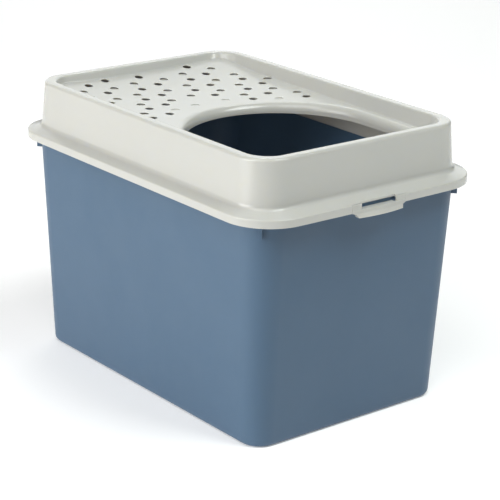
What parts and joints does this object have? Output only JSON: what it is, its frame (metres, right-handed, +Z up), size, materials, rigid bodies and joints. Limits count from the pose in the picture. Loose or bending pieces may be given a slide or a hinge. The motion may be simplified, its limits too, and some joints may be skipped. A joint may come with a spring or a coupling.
{
  "type": "top entry litter box",
  "caption": "Deep drafted tub under a lift-off lid with a perforated tread and an arched entry opening in its top, held by two pull tabs.",
  "frame": {"origin": "centre of the bounding box, at the level of the underside it stands on", "axes": "+Z up, +Y along the length from the entry end to the perforated end, +X across the width"},
  "size_m": [0.395, 0.588, 0.397],
  "materials": {
    "tub_plastic": "satin moulded polypropylene",
    "lid_plastic": "smooth warm white moulded polypropylene"
  },
  "bodies": {
    "tub": {"tub": "tub_plastic"},
    "lid": {"lid": "lid_plastic"},
    "front_tab": {"latch_front": "lid_plastic"},
    "rear_tab": {"latch_rear": "lid_plastic"}
  },
  "joints": [
    {"name": "lid_lift", "type": "slide", "parent": "tub", "child": "lid", "axis": [0, 0, 1], "range_m": [0, 0.15]},
    {"name": "front_tab_flex", "type": "hinge", "parent": "lid", "child": "front_tab", "pos_m": [0, -0.2848, 0.32482], "axis": [-1, 0, 0], "range_deg": [0, 25], "stiffness_Nm_per_rad": 0.6},
    {"name": "rear_tab_flex", "type": "hinge", "parent": "lid", "child": "rear_tab", "pos_m": [0, 0.2848, 0.32482], "axis": [1, 0, 0], "range_deg": [0, 25], "stiffness_Nm_per_rad": 0.6}
  ]
}
